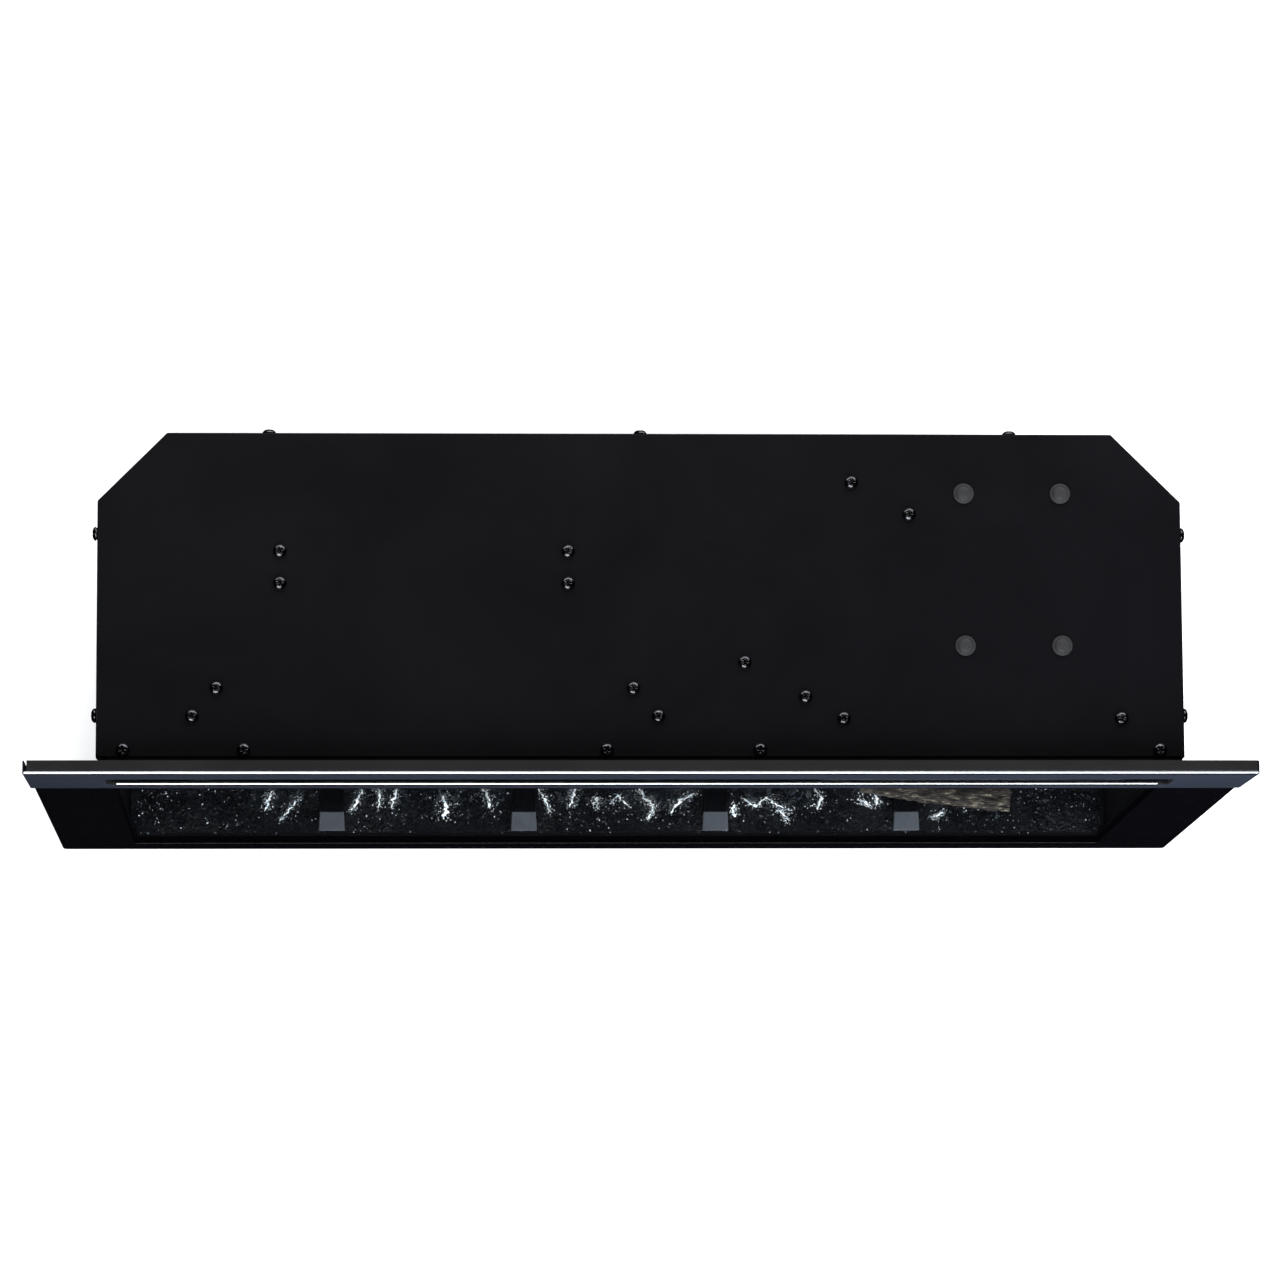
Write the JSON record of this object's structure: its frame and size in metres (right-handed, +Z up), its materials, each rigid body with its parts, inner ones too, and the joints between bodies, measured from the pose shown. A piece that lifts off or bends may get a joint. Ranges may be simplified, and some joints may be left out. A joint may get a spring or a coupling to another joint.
{
  "type": "electric fireplace",
  "caption": "Slim built-in electric fireplace: black steel casing with chamfered rear corners, wide front fascia with heater slot, dark glass and a lit bed of glass, ice and driftwood.",
  "frame": {"origin": "middle of the casing's underside, where it rests on the sill of the framed opening", "axes": "+X to the right as seen by someone facing the glass, +Y into the wall, +Z up"},
  "size_m": [0.87, 0.2494, 0.495],
  "materials": {
    "casing_paint": "satin near-black powder coat on folded sheet steel",
    "fascia_paint": "blue-black satin paint",
    "front_glass": "dark tinted toughened glass with black fired border",
    "flame_screen": "grey diffusing acrylic",
    "bed_rail_paint": "black arms with grey toes",
    "crushed_glass": "dark broken glass chips",
    "acrylic_ice": "clear moulded acrylic",
    "driftwood": "grey-brown weathered bark, matt",
    "light_strip": "white solder mask with square lamps",
    "galvanised_sheet": "zinc-plated folded sheet",
    "heater_alloy": "plain aluminium and laminations",
    "dark_plastic": "black moulded plastic",
    "circuit_board": "green solder mask",
    "cap_plastic": "charcoal matt nylon",
    "grommet_rubber": "matt black rubber",
    "black_screw": "black-oxide glossy steel"
  },
  "bodies": {
    "casing": {"back_screw_1": "black_screw", "back_screw_2": "black_screw", "back_screw_3": "black_screw", "base_panel": "casing_paint", "bed_rail": "bed_rail_paint", "blower_housing": "galvanised_sheet", "blower_motor": "heater_alloy", "blower_screw_1": "black_screw", "blower_screw_2": "black_screw", "blower_screw_3": "black_screw", "blower_screw_4": "black_screw", "board_stud_1": "cap_plastic", "board_stud_2": "cap_plastic", "board_stud_3": "cap_plastic", "board_stud_4": "cap_plastic", "casing_shell": "casing_paint", "control_board": "circuit_board", "driftwood_log": "driftwood", "duct_screw_1": "black_screw", "duct_screw_2": "black_screw", "duct_screw_3": "black_screw", "duct_screw_4": "black_screw", "firebox_liner": "casing_paint", "flame_screen": "flame_screen", "flicker_bearing": "dark_plastic", "flicker_motor": "galvanised_sheet", "front_screw_1": "black_screw", "front_screw_2": "black_screw", "front_screw_3": "black_screw", "front_screw_4": "black_screw", "front_screw_5": "black_screw", "glass_bed": "crushed_glass", "heater_duct": "galvanised_sheet", "heating_element": "heater_alloy", "ice_left": "acrylic_ice", "ice_right": "acrylic_ice", "lid_angle": "casing_paint", "media_tray": "casing_paint", "outlet_fascia": "fascia_paint", "power_supply": "galvanised_sheet", "rear_lamp_board": "light_strip", "side_screw_left_1": "black_screw", "side_screw_left_2": "black_screw", "side_screw_right_1": "black_screw", "side_screw_right_2": "black_screw", "supply_grommet": "grommet_rubber", "supply_screw_1": "black_screw", "supply_screw_2": "black_screw", "supply_screw_3": "black_screw", "supply_screw_4": "black_screw", "switch_bracket": "galvanised_sheet", "switch_housing": "dark_plastic", "switch_screw_1": "black_screw", "switch_screw_2": "black_screw", "top_panel": "casing_paint", "trim_frame": "casing_paint"},
    "front_glass": {"front_glass": "front_glass"},
    "blower_wheel": {"blower_wheel": "dark_plastic"},
    "flicker_rod": {"flicker_rod": "galvanised_sheet"},
    "power_rocker": {"power_rocker": "dark_plastic"}
  },
  "joints": [
    {"name": "glass_lift_off", "type": "slide", "parent": "casing", "child": "front_glass", "axis": [0, -1, 0], "range_m": [0, 0.06]},
    {"name": "blower_spin", "type": "hinge", "parent": "casing", "child": "blower_wheel", "pos_m": [-0.1535, 0.0225, 0.419], "axis": [1, 0, 0], "continuous": true},
    {"name": "flicker_spin", "type": "hinge", "parent": "casing", "child": "flicker_rod", "pos_m": [0, 0.0035, 0.052], "axis": [1, 0, 0], "continuous": true},
    {"name": "rocker_tilt", "type": "hinge", "parent": "casing", "child": "power_rocker", "pos_m": [0.322, -0.0932, 0.416], "axis": [1, 0, 0], "range_deg": [0, 16]}
  ]
}
